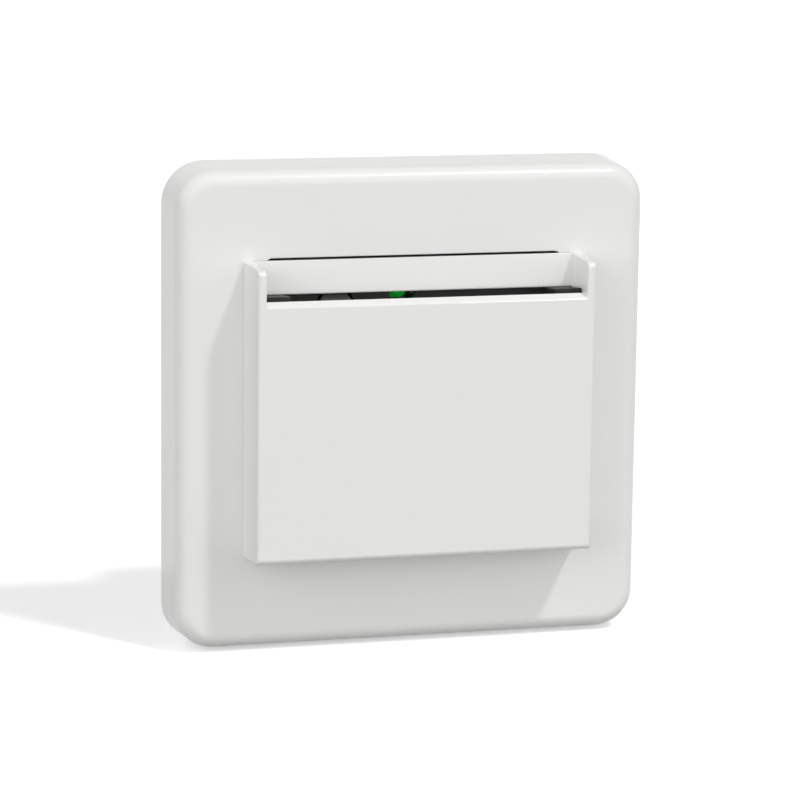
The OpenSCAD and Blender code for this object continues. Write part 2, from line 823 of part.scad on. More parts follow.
module card_lever() {
    barrel_to = lever_x + barrel_half;
    tab_low = hinge_z - tab_drop;
    tab_front = guide_back + loose;
    tab_back = hinge_y + coil_r - lever_wire / 2 - 2 * seat_gap;
    tab_top = hinge_z - coil_r - lever_wire / 2 - loose;
    color("dimgray") difference() {
        union() {
            intersection() {
                along_x(lever_x - lever_w, lever_x + lever_w) lever_outline();
                along_y(pocket_front, over) lever_front(0);
            }
            rod_x(lever_x - barrel_half, barrel_to, hinge_y, hinge_z, barrel_r);
            // Tab behind the guide's face that the spring pushes
            block([barrel_to - tab_w, tab_front, tab_low], [barrel_to, tab_back, hinge_z]);
            block([barrel_to - joined, tab_front, tab_low],
                  [coil_from + lever_wire / 2 + joined, tab_back, tab_top]);
        }
        rod_x(lever_x - barrel_half - over, barrel_to + over, hinge_y, hinge_z, pin_r + running);
    }
}

module lever_pin() {
    color("silver") rod_x(ear_left - loose, ear_right + ear_t, hinge_y, hinge_z, pin_r);
}

// Torsion spring: coil on the pin, one leg on the lever's tab and one on the base
leg_l = 4;
leg_step = 1.4;
bend_in = 0.3;
bend_out = 0.6;
bend_rise = 1.3;
foot_rise = 1.8;
lever_spring_path = concat(
    [for (i = [0:2]) [coil_from, hinge_y + coil_r, hinge_z - leg_l + i * leg_step]],
    [
        for (i = [0:lever_turns * curl_rings])
        let (a = 360 * i / curl_rings, share = i / (lever_turns * curl_rings))
        [coil_from + (coil_to - coil_from) * share, hinge_y + coil_r * cos(a), hinge_z + coil_r * sin(a)]
    ],
    [
        [coil_to, hinge_y + coil_r - bend_in, hinge_z + bend_rise],
        [coil_to, hinge_y + coil_r + bend_out, hinge_z + bend_rise + bend_in],
        [coil_to, recess_floor - lever_wire / 2 - snug, hinge_z + foot_rise]
    ]
);

module lever_spring() {
    echo("lever spring least gap", least_gap(lever_spring_path, lever_wire));
    color("silver") wire_tube(lever_spring_path, lever_wire);
}

module plunger() {
    half = plunger_w / 2;
    window_half = strip_w / 2 + dome_gap;
    color("ivory") translate([lever_x, 0, plunger_z]) difference() {
        union() {
            translate([0, dome_y(0), 0]) sphere(stem_r);
            rod_y(0, 0, dome_y(0), body_front + joined, stem_r);
            block([-half, body_front, -half], [half, body_back, half]);
            rod_y(0, 0, body_back - joined, body_back + rear_pin_l, rear_pin_r);
        }
        block([-window_half, bridge_window_front, -plunger_w], [window_half, bridge_back, plunger_w]);
    }
}

module return_spring() {
    end_gap = return_wire / 2 + seat_gap;
    r = rear_pin_r + snug + return_wire;
    path = plunger_coil(body_back + end_gap, boss_front - end_gap, r, return_turns);
    echo("return spring least gap", least_gap(path, return_wire));
    color("silver") wire_tube(path, return_wire);
}

module contact_bridge() {
    half = strip_w / 2;
    reach = contact_reach + half - snug;
    color("goldenrod") translate([lever_x, 0, plunger_z])
        block([-half, bridge_back - strip_t, -reach], [half, bridge_back, reach]);
}

module bridge_contacts() {
    color("silver") for (z = [high_z, low_z]) rod_y(lever_x, z, bridge_back, bridge_back + tip_t, tip_r);
}

module bridge_spring() {
    end_gap = bridge_wire / 2 + seat_gap;
    r = strip_w / 2 - bridge_wire;
    path = plunger_coil(bridge_window_front + end_gap, bridge_back - strip_t - end_gap, r, bridge_turns);
    echo("bridge spring least gap", least_gap(path, bridge_wire));
    color("silver") wire_tube(path, bridge_wire);
}

module line_strip() {
    half = strip_w / 2;
    color("goldenrod") along_y(strip_front, strip_back) {
        translate([lever_x - half, high_z - half]) square([terminal_pitch - lever_x + strip_w, strip_w]);
        translate([terminal_pitch - half, strip_end_z]) square([strip_w, high_z - strip_end_z]);
        translate([line_pin_x - pin_tab_w / 2, high_z]) square([pin_tab_w, pin_z + joined - high_z]);
    }
}

module load_strip() {
    half = strip_w / 2;
    color("goldenrod") along_y(strip_front, strip_back)
        translate([lever_x - half, strip_end_z]) square([strip_w, low_z + half - strip_end_z]);
}

module neutral_strip() {
    step_z = plunger_z + neutral_bend;
    color("goldenrod") along_x(-neutral_w / 2, neutral_w / 2) {
        translate([strip_front, strip_end_z]) square([strip_t, step_z - strip_end_z + strip_t]);
        translate([neutral_front, step_z]) square([strip_back - neutral_front, strip_t]);
        translate([neutral_front, step_z]) square([strip_t, pin_z + joined - step_z]);
    }
}

module fixed_contacts() {
    color("silver") for (z = [high_z, low_z]) rod_y(lever_x, z, fixed_tip_front, strip_front, tip_r);
}

module terminal_blocks() {
    half = terminal_w / 2;
    color("gold") for (x = terminal_places) difference() {
        block([x - half, strip_back, block_low_z], [x + half, block_back, block_high_z]);
        rod_y(x, bore_z, strip_back - over, block_back + over, wire_r);
        rod_z(x, clamp_y, block_low_z - over, bore_z, clamp_r + tight);
    }
}

clamp_head_t = 1.7;
clamp_slot = 0.7;

module terminal_screws() {
    head_z = block_low_z - clamp_head_t;
    color("silver") for (x = terminal_places) difference() {
        union() {
            rod_z(x, clamp_y, head_z, bore_z - wire_r - snug, clamp_r);
            rod_z(x, clamp_y, head_z, block_low_z, clamp_head_r);
        }
        translate([x, clamp_y, head_z])
            cube([2 * clamp_head_r + over, clamp_slot, 2 * clamp_slot], center = true);
    }
}

module led() {
    rim_front = board_front - lamp_flange_t;
    dome = rim_front - lamp_body_l;
    color("limegreen") {
        rod_y(lamp_x, lamp_z, rim_front, board_front, lamp_r + lamp_rim);
        rod_y(lamp_x, lamp_z, dome, board_front, lamp_r);
        translate([lamp_x, dome, lamp_z]) sphere(lamp_r);
    }
}

lead_over = 0.6;
lead_end = recess_floor + lead_over;

module led_leads() {
    color("silver") for (side = [-1, 1])
        rod_y(lamp_x + side * lamp_lead_x, lamp_z, board_front, lead_end, lamp_lead_r);
}

// Pieces on the board with a wire at each end: height, length and radius of the body
resistor = [resistor_z, resistor_l, resistor_r];
diode = [diode_z, diode_l, diode_r];
function lead_places(piece) =
    [for (side = [-1, 1]) [parts_middle + side * (piece[1] / 2 + lead_room), piece[0]]];

module axial_piece(piece) {
    middle = board_front - piece[2] - snug;
    ends = lead_places(piece);
    rod_x(parts_middle - piece[1] / 2, parts_middle + piece[1] / 2, middle, piece[0], piece[2]);
    rod_x(ends[0][0], ends[1][0], middle, piece[0], lead_r);
    for (p = ends) {
        rod_y(p[0], p[1], middle, lead_end, lead_r);
        translate([p[0], middle, p[1]]) sphere(lead_r);
    }
}

module led_resistor() {
    color("tan") axial_piece(resistor);
}

module led_diode() {
    color("black") axial_piece(diode);
}

module led_board() {
    front = board_front - over;
    back = recess_floor + over;
    color("darkgreen") difference() {
        block([board_left, board_front, board_low_z], [board_right, recess_floor, board_high_z]);
        for (side = [-1, 1]) rod_y(lamp_x + side * lamp_lead_x, lamp_z, front, back, lamp_lead_r + tight);
        for (x = [line_pin_x, 0]) rod_y(x, pin_z, front, back, board_pin_r + tight);
        for (piece = [resistor, diode], p = lead_places(piece))
            rod_y(p[0], p[1], front, back, lead_r + tight);
    }
}

module board_pins() {
    front = board_front - joined;
    color("gold") {
        rod_y(line_pin_x, pin_z, front, strip_front, board_pin_r);
        rod_y(0, pin_z, front, neutral_front, board_pin_r);
    }
}

frame_plate();
card_holder();
card_guide();
guide_screws();
support_frame();
frame_rivets();
switch_base();
card_lever();
lever_pin();
lever_spring();
plunger();
return_spring();
contact_bridge();
bridge_contacts();
bridge_spring();
line_strip();
load_strip();
neutral_strip();
fixed_contacts();
terminal_blocks();
terminal_screws();
led();
led_leads();
led_board();
led_resistor();
led_diode();
board_pins();
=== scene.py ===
import json
import math

import bpy
from mathutils import Matrix, Vector


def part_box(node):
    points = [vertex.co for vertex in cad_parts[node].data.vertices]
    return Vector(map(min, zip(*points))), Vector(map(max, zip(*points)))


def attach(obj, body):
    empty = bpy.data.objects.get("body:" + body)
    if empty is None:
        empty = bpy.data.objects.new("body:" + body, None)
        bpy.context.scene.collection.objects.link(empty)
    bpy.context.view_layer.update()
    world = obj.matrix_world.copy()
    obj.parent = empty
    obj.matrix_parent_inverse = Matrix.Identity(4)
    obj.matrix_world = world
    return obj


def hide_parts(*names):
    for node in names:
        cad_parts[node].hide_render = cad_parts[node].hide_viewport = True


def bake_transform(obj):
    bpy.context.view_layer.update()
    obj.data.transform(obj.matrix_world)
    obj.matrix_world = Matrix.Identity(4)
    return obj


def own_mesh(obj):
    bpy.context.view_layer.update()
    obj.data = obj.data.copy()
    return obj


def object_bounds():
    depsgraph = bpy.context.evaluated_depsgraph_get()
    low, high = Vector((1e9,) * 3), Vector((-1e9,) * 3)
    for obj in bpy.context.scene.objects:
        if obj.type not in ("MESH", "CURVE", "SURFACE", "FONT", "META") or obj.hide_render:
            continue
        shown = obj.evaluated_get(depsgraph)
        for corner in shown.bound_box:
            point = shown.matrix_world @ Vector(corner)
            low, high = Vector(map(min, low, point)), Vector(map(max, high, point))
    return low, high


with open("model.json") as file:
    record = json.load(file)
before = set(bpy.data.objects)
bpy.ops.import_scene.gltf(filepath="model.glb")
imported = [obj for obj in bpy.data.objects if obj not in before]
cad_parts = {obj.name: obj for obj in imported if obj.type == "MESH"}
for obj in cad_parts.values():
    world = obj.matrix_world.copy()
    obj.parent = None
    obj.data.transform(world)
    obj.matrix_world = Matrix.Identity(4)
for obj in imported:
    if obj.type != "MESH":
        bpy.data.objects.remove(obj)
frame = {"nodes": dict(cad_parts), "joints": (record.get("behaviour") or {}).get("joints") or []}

cad_box = [list(corner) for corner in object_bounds()]


# Support frame: a square of sheet steel that is punched in one stroke, then zinc plated.
# Four screws hold it to the wall box. The plating is dull, cloudy from the bath,
# and still shows the fine lines of the rolled sheet.
MM = 0.001
SAME_POINT = 0.001 * MM
SAME_FACE = math.radians(0.4)
SHARP = math.radians(30)
FIRST_COLOUR, SECOND_COLOUR, MIXED_COLOUR = 6, 7, 2
SKIN_OUT = (("Colour", "Color"), ("Roughness", "Float"), ("Normal", "Vector"))


def make_group(name, inputs, outputs):
    """Starts a shader node group, and returns it with its inputs and its outputs."""
    group = bpy.data.node_groups.new(name, "ShaderNodeTree")
    for label, kind, value in inputs:
        socket = group.interface.new_socket(label, in_out="INPUT", socket_type="NodeSocket" + kind)
        socket.default_value = value
    for label, kind in outputs:
        group.interface.new_socket(label, in_out="OUTPUT", socket_type="NodeSocket" + kind)
    return group, group.nodes.new("NodeGroupInput").outputs, group.nodes.new("NodeGroupOutput").inputs


def add(tree, kind, sockets, **settings):
    """Adds a shader node, links or sets its sockets, and returns its outputs."""
    node = tree.nodes.new("ShaderNode" + kind)
    for label, value in settings.items():
        setattr(node, label, value)
    for label, value in sockets.items():
        if isinstance(value, bpy.types.NodeSocket):
            tree.links.new(value, node.inputs[label])
        else:
            node.inputs[label].default_value = value
    return node.outputs


def reckon(tree, operation, *values):
    """Adds a Math node on the values and returns its result."""
    return add(tree, "Math", dict(enumerate(values)), operation=operation)["Value"]


def two_tone(tree, share, first, second):
    """Adds a colour that goes from the first to the second as the share goes from 0 to 1."""
    tones = {"Factor": share, FIRST_COLOUR: first, SECOND_COLOUR: second}
    return add(tree, "Mix", tones, data_type="RGBA")[MIXED_COLOUR]


def put_out(group, given, made, colour, unevenness, height, depth):
    """Puts out a skin's colour, a roughness that swings with the unevenness, and the relief."""
    swing = reckon(group, "SUBTRACT", unevenness, 0.5)
    roughness = reckon(group, "MULTIPLY_ADD", swing, given["Gloss spread"], given["Gloss"])
    relief = add(group, "Bump", {"Height": height, "Distance": depth, "Strength": 1.0})["Normal"]
    for label, value in (("Colour", colour), ("Roughness", roughness), ("Normal", relief)):
        group.links.new(value, made[label])


plated_skin, given, made = make_group(
    "plated_skin",
    (
        ("Bright", "Color", (0.7, 0.7, 0.7, 1)),
        ("Stain", "Color", (0.5, 0.5, 0.5, 1)),
        ("Cloud scale", "Float", 200.0),
        ("Line scale", "Float", 9000.0),
        ("Line depth", "Float", 0.002 * MM),
        ("Gloss", "Float", 0.35),
        ("Gloss spread", "Float", 0.1),
    ),
    SKIN_OUT,
)
where = add(plated_skin, "TexCoord", {})["Object"]
clouds = add(plated_skin, "TexNoise", {"Vector": where, "Scale": given["Cloud scale"], "Detail": 5.0})["Fac"]
along = add(plated_skin, "VectorMath", {0: where, 1: (0.04, 1, 1)}, operation="MULTIPLY")["Vector"]
lines = add(plated_skin, "TexNoise", {"Vector": along, "Scale": given["Line scale"], "Detail": 2.0})["Fac"]
stained = add(plated_skin, "MapRange", {"Value": clouds, "From Min": 0.4, "From Max": 0.75})["Result"]
tint = two_tone(plated_skin, stained, given["Bright"], given["Stain"])
put_out(plated_skin, given, made, tint, clouds, lines, given["Line depth"])


def finish(name, skin, looks, surface):
    """Makes a material from a skin with its own looks, and sets the shader's plain values."""
    material = bpy.data.materials.new(name)
    material.use_nodes = True
    tree = material.node_tree
    shader = tree.nodes["Principled BSDF"]
    effect = tree.nodes.new("ShaderNodeGroup")
    effect.node_tree = skin
    for label, value in looks.items():
        effect.inputs[label].default_value = value
    for label, socket in (("Colour", "Base Color"), ("Roughness", "Roughness"), ("Normal", "Normal")):
        tree.links.new(effect.outputs[label], shader.inputs[socket])
    for label, value in surface.items():
        shader.inputs[label].default_value = value
    return material


smooth_faces = bpy.data.node_groups.new("smooth_faces", "GeometryNodeTree")
for way in ("INPUT", "OUTPUT"):
    smooth_faces.interface.new_socket("Geometry", in_out=way, socket_type="NodeSocketGeometry")
shade = smooth_faces.nodes.new("GeometryNodeSetShadeSmooth")
smooth_faces.links.new(smooth_faces.nodes.new("NodeGroupInput").outputs[0], shade.inputs["Geometry"])
smooth_faces.links.new(shade.outputs[0], smooth_faces.nodes.new("NodeGroupOutput").inputs[0])


def dress(name, material, edge, rows=2):
    """Gives a CAD node its finish, and eased edges of a width in millimetres or, at 0, sharp ones."""
    piece = frame["nodes"][name]
    piece.material_slots[0].material = material
    piece.modifiers.new("joined_faces", "WELD").merge_threshold = SAME_POINT
    flat = piece.modifiers.new("flat_faces", "DECIMATE")
    flat.decimate_type = "DISSOLVE"
    flat.angle_limit = SAME_FACE
    if edge:
        eased = piece.modifiers.new("eased_edges", "BEVEL")
        eased.width = edge * MM
        eased.segments = rows
        eased.limit_method = "ANGLE"
        eased.angle_limit = SHARP
        eased.use_clamp_overlap = False
    else:
        piece.modifiers.new("sharp_edges", "EDGE_SPLIT").split_angle = SHARP
    piece.modifiers.new("smooth_faces", "NODES").node_group = smooth_faces
    piece.modifiers.new("even_shading", "WEIGHTED_NORMAL").weight = 60


zinc_plate = finish("zinc_plate", plated_skin, {
    "Bright": (0.66, 0.68, 0.70, 1),
    "Stain": (0.50, 0.51, 0.53, 1),
    "Cloud scale": 160.0,
    "Line scale": 7000.0,
    "Line depth": 0.003 * MM,
    "Gloss": 0.38,
    "Gloss spread": 0.16,
}, {"Metallic": 1.0})
dress("support_frame", zinc_plate, 0.12)


# Switch base: the box behind the wall, moulded in pale grey thermoplastic, with the contacts' chamber.
# The mould's spark eroded walls leave a fine matt grain. Its flange lies on the support frame.
moulded_skin, given, made = make_group(
    "moulded_skin",
    (
        ("Colour", "Color", (0.8, 0.8, 0.8, 1)),
        ("Shade", "Color", (0.7, 0.7, 0.7, 1)),
        ("Drift scale", "Float", 40.0),
        ("Grain scale", "Float", 5000.0),
        ("Grain depth", "Float", 0.002 * MM),
        ("Gloss", "Float", 0.4),
        ("Gloss spread", "Float", 0.1),
    ),
    SKIN_OUT,
)
where = add(moulded_skin, "TexCoord", {})["Object"]
drift = add(moulded_skin, "TexNoise", {"Vector": where, "Scale": given["Drift scale"], "Detail": 3.0})["Fac"]
grain = add(moulded_skin, "TexNoise", {"Vector": where, "Scale": given["Grain scale"], "Detail": 2.0})["Fac"]
shaded = add(moulded_skin, "MapRange", {"Value": drift, "From Min": 0.3, "From Max": 0.7})["Result"]
tint = two_tone(moulded_skin, shaded, given["Colour"], given["Shade"])
put_out(moulded_skin, given, made, tint, grain, grain, given["Grain depth"])

base_moulding = finish("base_moulding", moulded_skin, {
    "Colour": (0.60, 0.60, 0.575, 1),
    "Shade": (0.56, 0.56, 0.535, 1),
    "Grain scale": 4200.0,
    "Grain depth": 0.012 * MM,
    "Gloss": 0.52,
    "Gloss spread": 0.2,
}, {"IOR": 1.5})
dress("switch_base", base_moulding, 0.15)


# Frame rivets: tubular steel rivets through the flange's corners, plated as the frame is.
# Their heads lie in the flange's recesses, and the far ends are pressed flush with the steel.
dress("frame_rivets", zinc_plate, 0.18, 3)


# Contact strips: stamped from brass sheet and laid on the base's ledges. They lead from the terminals
# to the fixed contacts and to the lamp board's pins. Brass dulls unevenly, so its clouds go from
# clean yellow to brown.
strip_brass = finish("strip_brass", plated_skin, {
    "Bright": (0.80, 0.60, 0.27, 1),
    "Stain": (0.60, 0.41, 0.17, 1),
    "Cloud scale": 420.0,
    "Line scale": 8000.0,
    "Line depth": 0.002 * MM,
    "Gloss": 0.30,
    "Gloss spread": 0.2,
}, {"Metallic": 1.0})
for strip in ("line_strip", "load_strip", "neutral_strip"):
    dress(strip, strip_brass, 0.08)


# Contact tips: silver alloy buttons, riveted on the fixed strips and on the moving bridge.
# The alloy tarnishes in patches, so its fine clouds go from bright to a warm grey.
contact_silver = finish("contact_silver", plated_skin, {
    "Bright": (0.86, 0.85, 0.82, 1),
    "Stain": (0.62, 0.60, 0.56, 1),
    "Cloud scale": 900.0,
    "Line scale": 12000.0,
    "Line depth": 0.001 * MM,
    "Gloss": 0.26,
    "Gloss spread": 0.2,
}, {"Metallic": 1.0})
dress("fixed_contacts", contact_silver, 0.2, 3)
dress("bridge_contacts", contact_silver, 0.2, 3)


# Terminals: brass blocks that are cut from bar, each with a bore for the wire.
# A slotted clamp screw of zinc plated steel reaches into each block from below.
dress("terminal_blocks", strip_brass, 0.12)
dress("terminal_screws", zinc_plate, 0.12)


# Plunger: the push rod behind the lever, moulded in ivory acetal that slides without grease.
# Its window holds the brass bridge and the spring that presses it on the fixed contacts.
# Its edges stay sharp.
plunger_moulding = finish("plunger_moulding", moulded_skin, {
    "Colour": (0.76, 0.72, 0.60, 1),
    "Shade": (0.72, 0.67, 0.55, 1),
    "Grain scale": 3600.0,
    "Grain depth": 0.002 * MM,
    "Gloss": 0.34,
    "Gloss spread": 0.1,
}, {"IOR": 1.48})
dress("plunger", plunger_moulding, 0)
dress("contact_bridge", strip_brass, 0.08)


# Springs of the plunger and the bridge: steel wire, wound cold, with closed ends that sit flat.
# The return spring stands between the plunger and the base's boss.
COIL_STEPS = 28
CREASE = math.radians(35)


def ring_faces(rings, sides):
    """Joins rings of points in a row by four sided faces, and closes the first and the last ring."""
    faces = []
    for i in range(rings - 1):
        for k in range(sides):
            a, b = i * sides + k, i * sides + (k + 1) % sides
            faces.append((a, b, b + sides, a + sides))
    last = (rings - 1) * sides
    faces.append(tuple(reversed(range(sides))))
    faces.append(tuple(range(last, last + sides)))
    return faces


def wire_shell(path, radius, sides=12):
    """Sweeps a round wire along points in millimetres, with flat ends."""
    points = [Vector(p) for p in path]
    last = len(points) - 1
    outward = Vector((0.31, 0.2, 0.93))
    shell = []
    for i, p in enumerate(points):
        ahead = (points[min(i + 1, last)] - points[max(i - 1, 0)]).normalized()
        outward = (outward - outward.dot(ahead) * ahead).normalized()
        side = ahead.cross(outward)
        for k in range(sides):
            turn = 2 * math.pi * k / sides
            shell.append((p + radius * (math.cos(turn) * outward + math.sin(turn) * side)) * MM)
    return shell, ring_faces(len(points), sides)


def build(name, shells, materials):
    """Joins shells of points and faces, each with the number of its material, into one piece."""
    points, faces, numbers = [], [], []
    for shell, sides, number in shells:
        start = len(points)
        points += shell
        faces += [tuple(start + i for i in face) for face in sides]
        numbers += [number] * len(sides)
    mesh = bpy.data.meshes.new(name)
    mesh.from_pydata([tuple(p) for p in points], [], faces)
    for material in materials:
        mesh.materials.append(material)
    mesh.polygons.foreach_set("material_index", numbers)
    mesh.shade_smooth()
    mesh.set_sharp_from_angle(angle=CREASE)
    piece = bpy.data.objects.new(name, mesh)
    bpy.context.scene.collection.objects.link(piece)
    return piece


def box_middle(node):
    """Middle of a CAD node's box, in millimetres."""
    low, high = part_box(node)
    return (low + high) / 2 / MM


spring_wire = finish("spring_wire", plated_skin, {
    "Bright": (0.62, 0.62, 0.63, 1),
    "Stain": (0.42, 0.41, 0.40, 1),
    "Cloud scale": 700.0,
    "Line scale": 15000.0,
    "Line depth": 0.001 * MM,
    "Gloss": 0.24,
    "Gloss spread": 0.14,
}, {"Metallic": 1.0})
plunger_axis = box_middle("plunger")
TURN_GAP = 0.03


def coil_path(start, end, radius, wire, turns):
    """Helix about the plunger's axis from start to end, with one closed turn of wire at each end."""
    closed = 2 * wire + TURN_GAP
    pitch = (end - start - 2 * closed) / (turns - 2)
    path = []
    for i in range(turns * COIL_STEPS + 1):
        t = i / COIL_STEPS
        if t < 1:
            y = start + closed * t
        elif t > turns - 1:
            y = end - closed * (turns - t)
        else:
            y = start + closed + pitch * (t - 1)
        turn = 2 * math.pi * t
        path.append((plunger_axis.x + radius * math.cos(turn), y, plunger_axis.z + radius * math.sin(turn)))
    return path


RETURN_WIRE, RETURN_R, RETURN_TURNS = 0.25, 2.15, 5
RETURN_START, RETURN_END = 7.312, 12.712
return_path = coil_path(RETURN_START, RETURN_END, RETURN_R, RETURN_WIRE, RETURN_TURNS)
return_spring = build("return_spring_coil", [(*wire_shell(return_path, RETURN_WIRE), 0)], [spring_wire])
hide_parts("return_spring")
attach(return_spring, "switch")
joints = {joint["name"]: joint for joint in frame["joints"]}
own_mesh(return_spring)

BRIDGE_WIRE, BRIDGE_R, BRIDGE_TURNS = 0.2, 1.6, 4
BRIDGE_START, BRIDGE_END = -2.55, 1.25
bridge_path = coil_path(BRIDGE_START, BRIDGE_END, BRIDGE_R, BRIDGE_WIRE, BRIDGE_TURNS)
bridge_spring = build("bridge_spring_coil", [(*wire_shell(bridge_path, BRIDGE_WIRE), 0)], [spring_wire])
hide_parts("bridge_spring")
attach(bridge_spring, "plunger")


# Lamp board: a small glass fibre board under green solder mask, with a tinned ring round each wire.
# It stands in the flange's recess on two brass pins that bring it the mains.
RING_R = 0.75
RING_PLACES = ((-3.27, 19.5), (-0.73, 19.5), (11.1044, 17.0), (0.0, 17.0),
               (1.2, 20.8), (10.1, 20.8), (1.85, 18.0), (9.45, 18.0))
board_coat = bpy.data.materials.new("board_coat")
board_coat.use_nodes = True
tree = board_coat.node_tree
where = add(tree, "TexCoord", {})["Object"]
on_face = add(tree, "VectorMath", {0: where, 1: (1, 0, 1)}, operation="MULTIPLY")["Vector"]
nearest = 1.0
for x, z in RING_PLACES:
    away = add(tree, "VectorMath", {0: on_face, 1: (x * MM, 0, z * MM)}, operation="DISTANCE")["Value"]
    nearest = reckon(tree, "MINIMUM", nearest, away)
ring = reckon(tree, "LESS_THAN", nearest, RING_R * MM)
weave = add(tree, "TexNoise", {"Vector": where, "Scale": 2600.0, "Detail": 3.0})["Fac"]
mask_tint = two_tone(tree, weave, (0.012, 0.10, 0.035, 1), (0.025, 0.17, 0.06, 1))
coat_tint = two_tone(tree, ring, mask_tint, (0.68, 0.67, 0.64, 1))
shader = tree.nodes["Principled BSDF"]
tree.links.new(coat_tint, shader.inputs["Base Color"])
tree.links.new(ring, shader.inputs["Metallic"])
shader.inputs["Roughness"].default_value = 0.32
dress("led_board", board_coat, 0.06)
dress("board_pins", strip_brass, 0.08)


# Resistor and diode: bodies on wire ends that are bent down through the board and soldered.
# The resistor has a lacquered body with colour rings, the diode a black one with a pale ring.
WIRE_R = 0.3
BEND_R = 0.55
BEND_STEPS = 6
SPECK_SHADE = 0.82


def lathe_shell(profile, centre, axis, steps=40):
    """Turns places along an axis and radii, in millimetres, about that axis through the centre."""
    shell = []
    for place, radius in profile:
        for k in range(steps):
            turn = 2 * math.pi * k / steps
            u, v = radius * math.cos(turn), radius * math.sin(turn)
            offset = Vector((place, u, v)) if axis == "X" else Vector((v, place, u))
            shell.append((Vector(centre) + offset) * MM)
    return shell, ring_faces(len(profile), steps)


def bent_wire(left, right, z, y, end_y):
    """Wire along X at the body's axis, with both ends bent back through the board."""
    bends = []
    for i in range(BEND_STEPS + 1):
        turn = math.pi / 2 * i / BEND_STEPS
        bends.append((BEND_R * (1 - math.cos(turn)), y + BEND_R * (1 - math.sin(turn))))
    path = [(left, end_y, z)]
    path += [(left + inward, bend_y, z) for inward, bend_y in bends]
    path += [(right - inward, bend_y, z) for inward, bend_y in reversed(bends)]
    path.append((right, end_y, z))
    return path


def banded_coat(name, ground, rings, roughness):
    """Body colour with rings: each ring is a middle and half a width along X, and a colour."""
    material = bpy.data.materials.new(name)
    material.use_nodes = True
    tree = material.node_tree
    where = add(tree, "TexCoord", {})["Object"]
    x = add(tree, "SeparateXYZ", {"Vector": where})["X"]
    speck = add(tree, "TexNoise", {"Vector": where, "Scale": 3000.0, "Detail": 3.0})["Fac"]
    darker = tuple(SPECK_SHADE * c for c in ground[:3]) + (1,)
    tint = two_tone(tree, speck, darker, ground)
    for middle, half, colour in rings:
        band = reckon(tree, "COMPARE", x, middle * MM, half * MM)
        tint = two_tone(tree, band, tint, colour)
    shader = tree.nodes["Principled BSDF"]
    tree.links.new(tint, shader.inputs["Base Color"])
    shader.inputs["Roughness"].default_value = roughness
    shader.inputs["Coat Weight"].default_value = 0.3
    return material


def wired_body(name, node, half, coat):
    """Builds a turned body, given as the profile of its left half, on a bent wire in a node's box."""
    low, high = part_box(node)
    middle = box_middle(node)
    body_y = low.y / MM + max(radius for place, radius in half)
    profile = half + [(-place, radius) for place, radius in reversed(half)]
    wire = bent_wire(low.x / MM + WIRE_R, high.x / MM - WIRE_R, middle.z, body_y, high.y / MM)
    piece = build(name, [
        (*lathe_shell(profile, (middle.x, body_y, middle.z), "X"), 0),
        (*wire_shell(wire, WIRE_R), 1),
    ], [coat, spring_wire])
    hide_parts(node)
    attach(piece, "switch")


body_x = box_middle("led_resistor").x
resistor_coat = banded_coat("resistor_coat", (0.56, 0.41, 0.24, 1), (
    (body_x - 2.25, 0.32, (0.30, 0.09, 0.03, 1)),
    (body_x - 0.9, 0.3, (0.02, 0.02, 0.02, 1)),
    (body_x + 0.25, 0.3, (0.75, 0.22, 0.02, 1)),
    (body_x + 2.3, 0.3, (0.60, 0.42, 0.10, 1)),
), 0.35)
BULB = [(-3.15, 0.34), (-3.12, 0.7), (-3.0, 0.95), (-2.75, 1.1), (-2.4, 1.15),
        (-2.05, 1.12), (-1.8, 1.02), (-1.6, 0.95), (-1.3, 0.93)]
wired_body("resistor", "led_resistor", BULB, resistor_coat)

diode_coat = banded_coat("diode_coat", (0.018, 0.018, 0.02, 1), (
    (body_x + 1.55, 0.4, (0.62, 0.62, 0.60, 1)),
), 0.42)
DRUM = [(-2.5, 0.36), (-2.48, 1.05), (-2.42, 1.2), (-2.3, 1.28), (-2.15, 1.3)]
wired_body("diode", "led_diode", DRUM, diode_coat)


# Lamp: a 3 mm light diode cast in green tinted resin, with its dome in the guide's hole.
# The resin is hazy and lit a little from inside, and its two leads go back through the board.
lens_resin = bpy.data.materials.new("lens_resin")
lens_resin.use_nodes = True
tree = lens_resin.node_tree
where = add(tree, "TexCoord", {})["Object"]
haze = add(tree, "TexNoise", {"Vector": where, "Scale": 900.0, "Detail": 3.0})["Fac"]
resin = two_tone(tree, haze, (0.008, 0.32, 0.025, 1), (0.014, 0.46, 0.042, 1))
shader = tree.nodes["Principled BSDF"]
tree.links.new(resin, shader.inputs["Base Color"])
tree.links.new(resin, shader.inputs["Emission Color"])
shader.inputs["Roughness"].default_value = 0.12
shader.inputs["IOR"].default_value = 1.54
shader.inputs["Transmission Weight"].default_value = 0.45
shader.inputs["Emission Strength"].default_value = 0.3

DOME_R = 1.5
DOME_STEPS = 13
RIM_T = 1.0
RIM_EASE = 0.1
EASE = 0.08
low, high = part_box("led")
lamp_middle = box_middle("led")
rim_r = (high.x - low.x) / 2 / MM
rim_back = high.y / MM
rim_front = rim_back - RIM_T
dome_start = low.y / MM + DOME_R
dome = [
    (rim_back, rim_r - EASE),
    (rim_back - EASE, rim_r),
    (rim_front + RIM_EASE, rim_r),
    (rim_front, rim_r - RIM_EASE),
    (rim_front, DOME_R + EASE),
    (rim_front - EASE, DOME_R),
    (dome_start, DOME_R),
]
for i in range(1, DOME_STEPS):
    turn = math.pi / 2 * i / DOME_STEPS
    dome.append((dome_start - DOME_R * math.sin(turn), DOME_R * math.cos(turn)))
lamp_shell = lathe_shell(dome, (lamp_middle.x, 0, lamp_middle.z), "Y")
lamp = build("lamp_lens", [(*lamp_shell, 0)], [lens_resin])
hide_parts("led")
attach(lamp, "switch")
dress("led_leads", spring_wire, 0.05)


